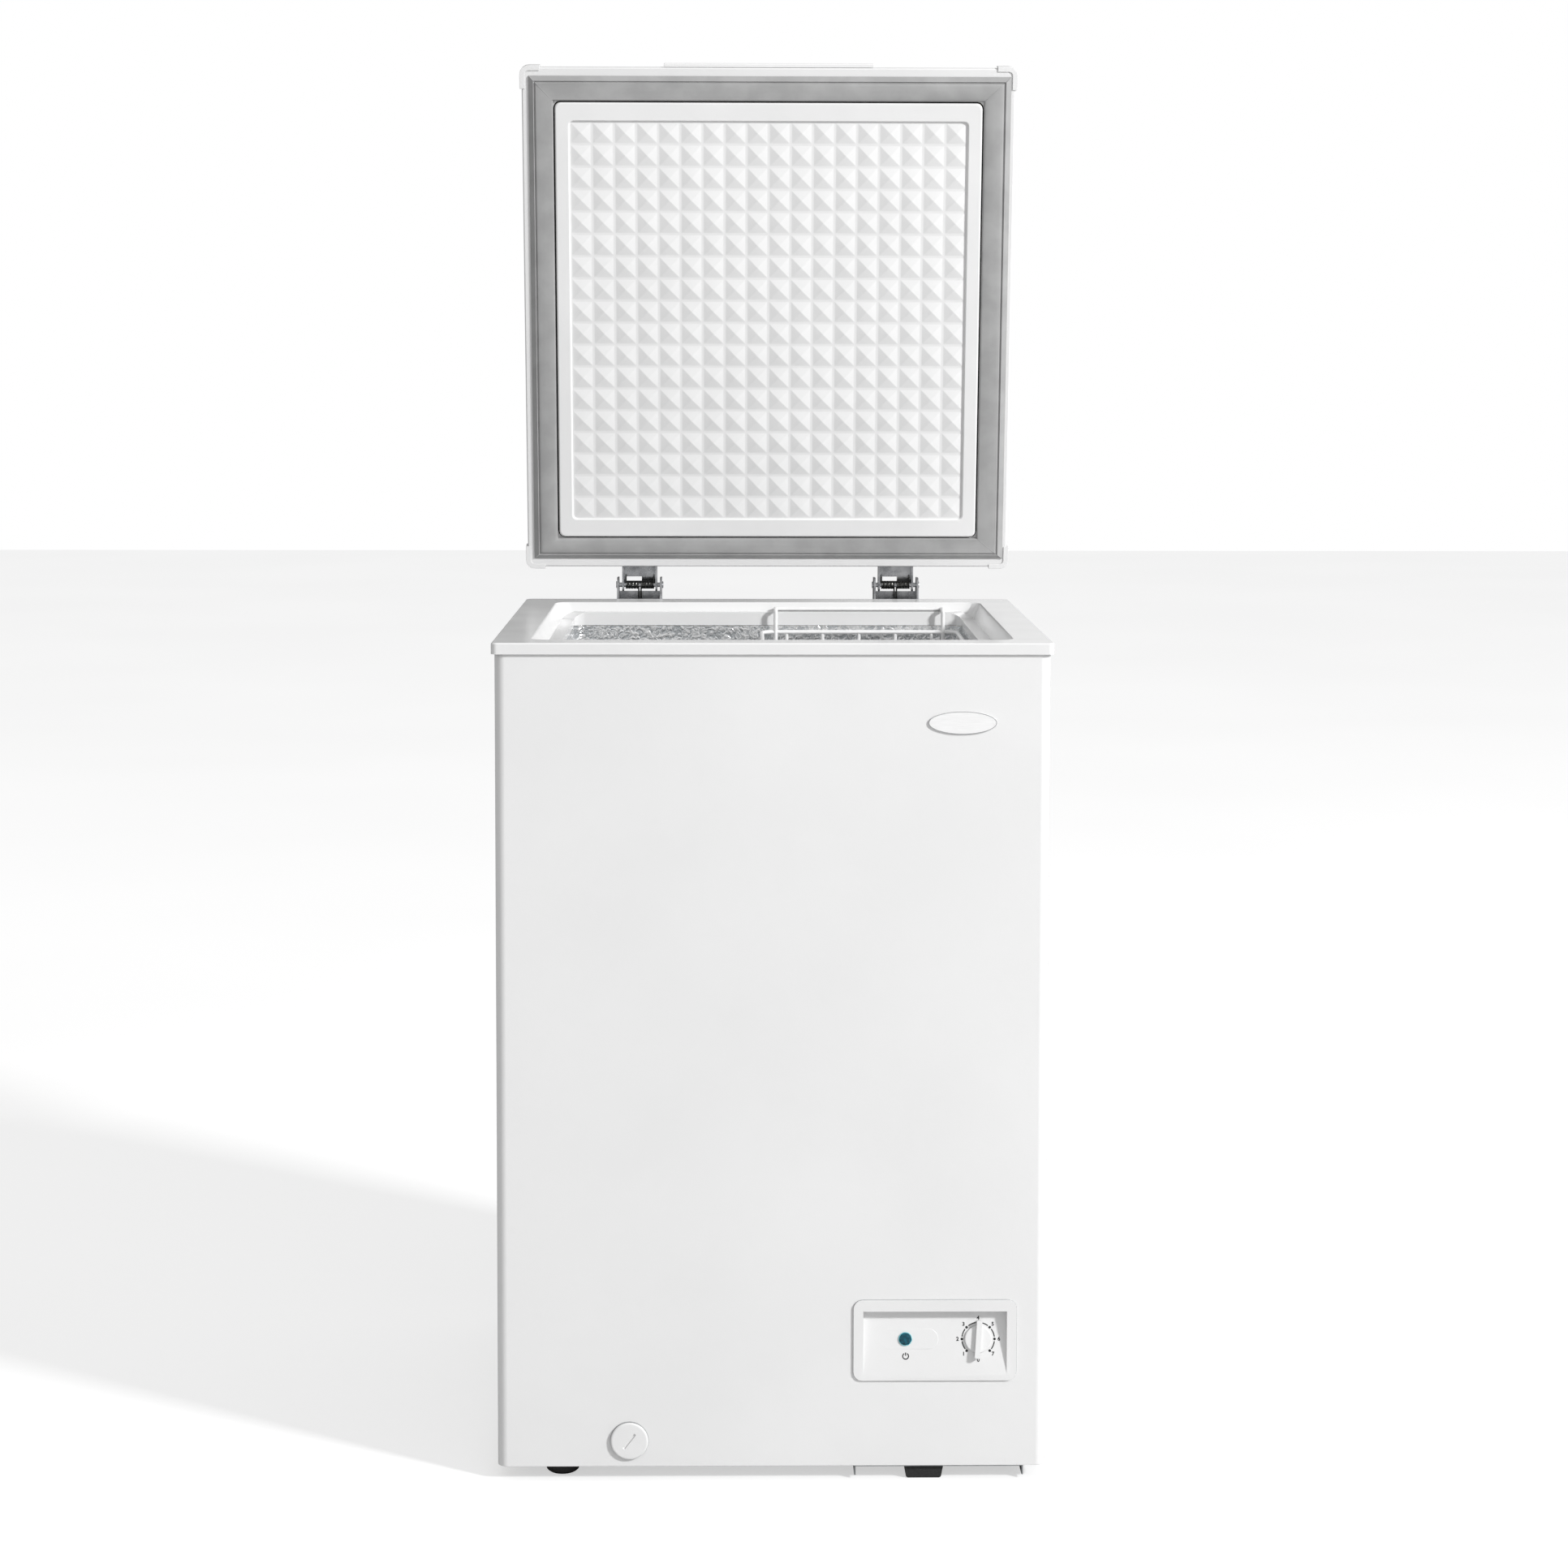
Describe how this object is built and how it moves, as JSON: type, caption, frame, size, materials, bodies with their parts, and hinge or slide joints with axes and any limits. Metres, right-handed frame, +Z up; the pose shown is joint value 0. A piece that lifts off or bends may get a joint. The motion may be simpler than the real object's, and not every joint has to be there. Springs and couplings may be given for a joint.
{
  "type": "compact chest freezer",
  "caption": "Compact white chest freezer standing with its lid open: foam-filled cabinet, metal-lined tub, wire basket, sprung lid hinges and a front thermostat knob.",
  "frame": {"origin": "on the floor, at the centre of the whole object's bounding box as it stands with the lid open", "axes": "+Z up; +Y to the back, where the hinges are; +X to the right seen from the front"},
  "size_m": [0.5364, 0.6014, 1.3962],
  "materials": {
    "white_enamel": "gloss",
    "white_plastic": "gloss",
    "coated_wire": "gloss",
    "grey_pvc": "matte",
    "stucco_aluminium": "satin",
    "galvanised_steel": "satin",
    "nickel_plate": "polished",
    "polyurethane_foam": "matte",
    "copper_tube": "satin",
    "black_enamel": "gloss",
    "black_rubber": "matte",
    "teal_lens": "gloss",
    "silver_badge": "satin"
  },
  "bodies": {
    "cabinet": {"top_collar": "white_plastic", "cabinet_wrap": "white_enamel", "back_panel": "galvanised_steel", "bottom_panel": "galvanised_steel", "machine_bay_panel": "galvanised_steel", "cabinet_foam": "polyurethane_foam", "inner_liner": "stucco_aluminium", "evaporator_coil": "stucco_aluminium", "condenser_coil": "copper_tube", "compressor_base_plate": "galvanised_steel", "round_foot_front": "black_rubber", "round_foot_rear": "black_rubber", "block_foot_front": "black_rubber", "block_foot_rear": "black_rubber", "compressor": "black_enamel", "compressor_grommet_1": "black_rubber", "compressor_grommet_2": "black_rubber", "compressor_grommet_3": "black_rubber", "compressor_grommet_4": "black_rubber", "start_relay": "black_enamel", "filter_drier": "copper_tube", "suction_line": "copper_tube", "rear_grille": "galvanised_steel", "cord_gland": "black_rubber", "control_bezel": "white_plastic", "pilot_lens": "teal_lens", "thermostat_body": "galvanised_steel", "oval_badge": "silver_badge", "hinge_bracket_left": "nickel_plate", "hinge_bracket_right": "nickel_plate", "bracket_screw_left_a": "nickel_plate", "bracket_screw_left_b": "nickel_plate", "bracket_screw_right_a": "nickel_plate", "bracket_screw_right_b": "nickel_plate", "hinge_pin_left": "nickel_plate", "hinge_pin_right": "nickel_plate", "hinge_spring_left": "nickel_plate", "hinge_spring_right": "nickel_plate"},
    "lid": {"lid_skin": "white_enamel", "lid_foam": "polyurethane_foam", "lid_trim": "white_plastic", "lid_corner_cap_front_left": "white_plastic", "lid_corner_cap_front_right": "white_plastic", "lid_corner_cap_rear_left": "white_plastic", "lid_corner_cap_rear_right": "white_plastic", "lid_gasket": "grey_pvc", "lid_inner_panel": "white_plastic", "lid_handle": "white_plastic", "hinge_leaf_left": "nickel_plate", "hinge_leaf_right": "nickel_plate", "leaf_screw_left_a": "nickel_plate", "leaf_screw_left_b": "nickel_plate", "leaf_screw_right_a": "nickel_plate", "leaf_screw_right_b": "nickel_plate"},
    "knob": {"thermostat_knob": "white_plastic", "thermostat_spindle": "galvanised_steel"},
    "drain_tube": {"drain_tube": "white_plastic"},
    "drain_cap": {"drain_cap": "white_plastic"},
    "drain_plug": {"drain_plug": "white_plastic"},
    "basket": {"basket": "coated_wire"}
  },
  "joints": [
    {"name": "lid_hinge", "type": "hinge", "parent": "cabinet", "child": "lid", "pos_m": [0, 0.2651, 0.826], "axis": [1, 0, 0], "range_deg": [0, 81], "stiffness_Nm_per_rad": 2, "springref_deg": -34.38},
    {"name": "knob_turn", "type": "hinge", "parent": "cabinet", "child": "knob", "pos_m": [0.199, -0.29184, 0.1375], "axis": [0, 0.9881, -0.1539], "range_deg": [-184, 131]},
    {"name": "drain_tube_pull", "type": "slide", "parent": "cabinet", "child": "drain_tube", "axis": [0, -1, 0], "range_m": [0, 0.025]},
    {"name": "drain_cap_turn", "type": "hinge", "parent": "drain_tube", "child": "drain_cap", "pos_m": [-0.1373, -0.2981, 0.0396], "axis": [0, -1, 0], "range_deg": [0, 90]},
    {"name": "drain_plug_lift", "type": "slide", "parent": "cabinet", "child": "drain_plug", "axis": [0, 0, 1], "range_m": [0, 0.03]},
    {"name": "basket_slide", "type": "slide", "parent": "cabinet", "child": "basket", "axis": [1, 0, 0], "range_m": [-0.198, 0]}
  ]
}
